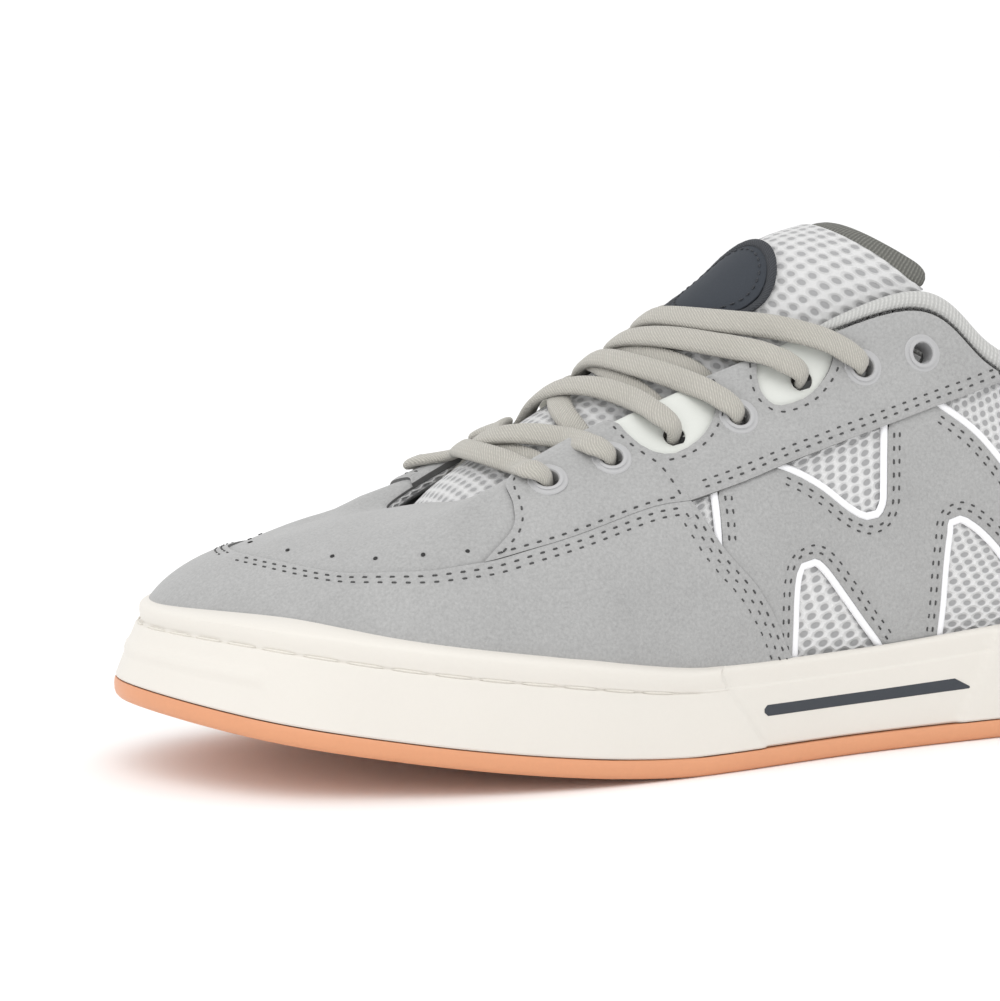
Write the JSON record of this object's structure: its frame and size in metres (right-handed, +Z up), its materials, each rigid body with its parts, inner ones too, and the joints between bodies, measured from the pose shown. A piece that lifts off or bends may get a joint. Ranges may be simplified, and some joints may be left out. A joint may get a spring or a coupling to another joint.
{
  "type": "skateboarding shoe",
  "caption": "Low laced skateboarding shoe for the left foot: hollow mesh and suede upper with a zigzag side panel, padded tongue, knitted collar and a cupsole with toe spring.",
  "frame": {"origin": "on the ground plane under the middle of the sole's length", "axes": "+X towards the toe, +Y towards the outer side of the left foot, +Z up"},
  "size_m": [0.3, 0.1102, 0.1229],
  "materials": {
    "gum": "gum rubber, matte",
    "sole_rubber": "cream white rubber, satin",
    "navy": "dark slate blue, satin",
    "lining": "dark grey textile",
    "mesh": "white air mesh over grey",
    "webbing": "dark grey woven webbing",
    "knit": "light grey ribbed knit",
    "suede": "mid grey suede with a short nap",
    "tab": "smooth off-white synthetic",
    "eyelet": "grey, satin",
    "lace": "beige woven oval lace"
  },
  "bodies": {
    "root": {"outsole": "gum", "cupsole": "sole_rubber", "side_stripe_lateral": "navy", "side_stripe_medial": "navy", "insole": "lining", "upper": "mesh", "tongue": "mesh", "tongue_webbing": "webbing", "tongue_patch": "navy", "collar": "knit", "vamp": "suede", "mudguard": "suede", "heel_counter": "suede", "eyestay_front_lateral": "suede", "eyestay_front_medial": "suede", "eyestay_rear_lateral": "suede", "eyestay_rear_medial": "suede", "side_panel_lateral": "suede", "side_panel_medial": "suede", "lace_tab_lateral_1": "tab", "lace_tab_lateral_2": "tab", "lace_tab_medial_1": "tab", "lace_tab_medial_2": "tab", "eyelet_lateral_1": "eyelet", "eyelet_lateral_2": "eyelet", "eyelet_lateral_4": "eyelet", "eyelet_lateral_6": "eyelet", "eyelet_lateral_7": "eyelet", "eyelet_medial_1": "eyelet", "eyelet_medial_2": "eyelet", "eyelet_medial_4": "eyelet", "eyelet_medial_6": "eyelet", "eyelet_medial_7": "eyelet", "lace_1": "lace", "lace_2": "lace", "lace_3": "lace", "lace_4": "lace", "lace_5": "lace", "lace_6": "lace"}
  },
  "joints": []
}
